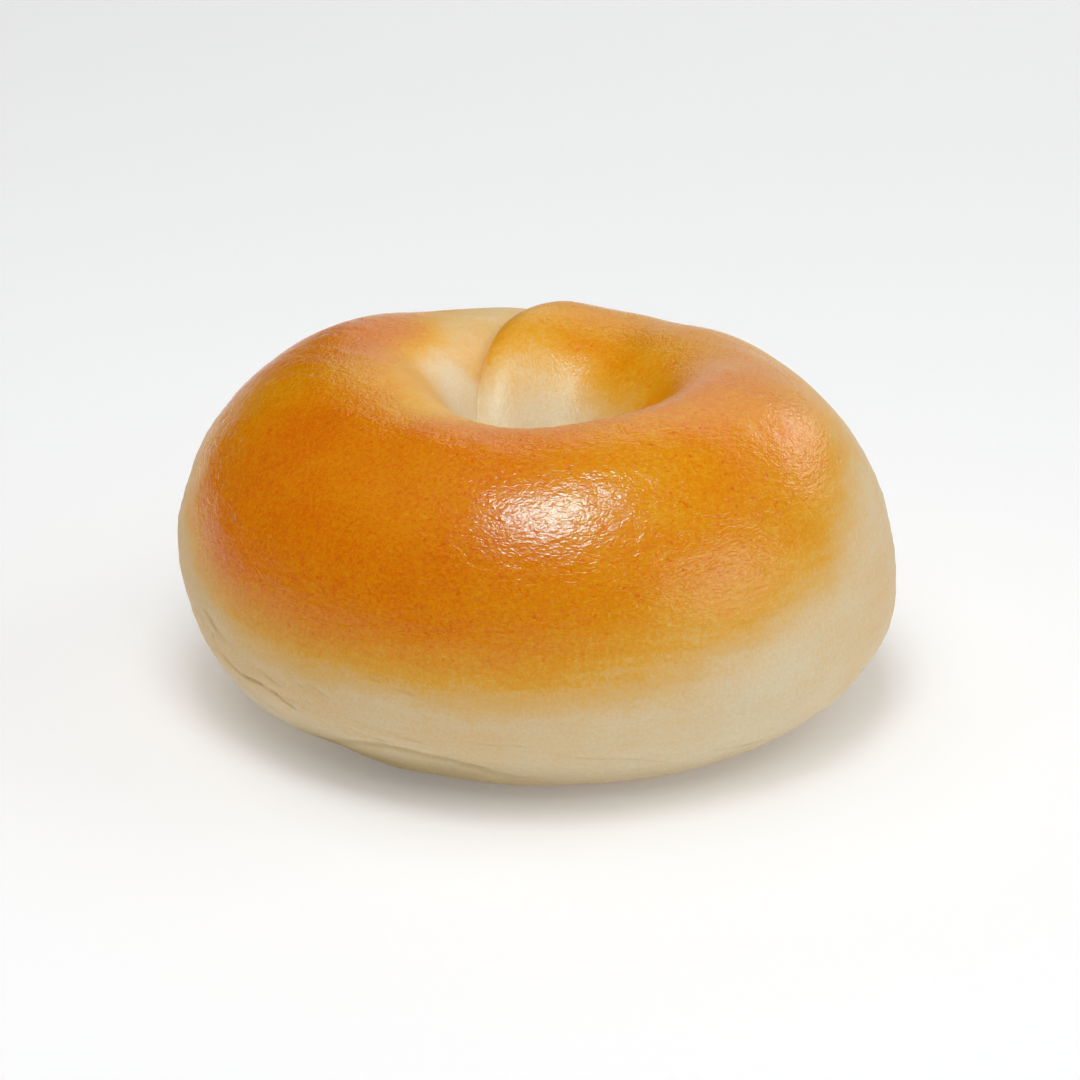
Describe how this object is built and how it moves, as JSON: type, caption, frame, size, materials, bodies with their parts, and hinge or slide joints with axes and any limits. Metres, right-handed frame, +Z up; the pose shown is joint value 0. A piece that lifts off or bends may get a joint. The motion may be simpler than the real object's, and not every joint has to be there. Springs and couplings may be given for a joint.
{
  "type": "bagel",
  "caption": "Plump plain bagel: a hand-rolled ring of baked dough with a wrapped, overlapping join at the back, a funnel-shaped centre hole and a flat foot to rest on.",
  "frame": {"origin": "on the floor, under the middle of the bagel's bounding box, inside the centre hole", "axes": "+Z up out of the centre hole, +X to the bagel's right when its front is looked at with the join behind, +Y towards the join at the back"},
  "size_m": [0.0996, 0.0982, 0.0491],
  "materials": {
    "crust": "boiled and baked bread crust: golden brown and glossy on top, pale cream round the foot, the right side and the hole"
  },
  "bodies": {
    "root": {"bagel": "crust"}
  },
  "joints": []
}
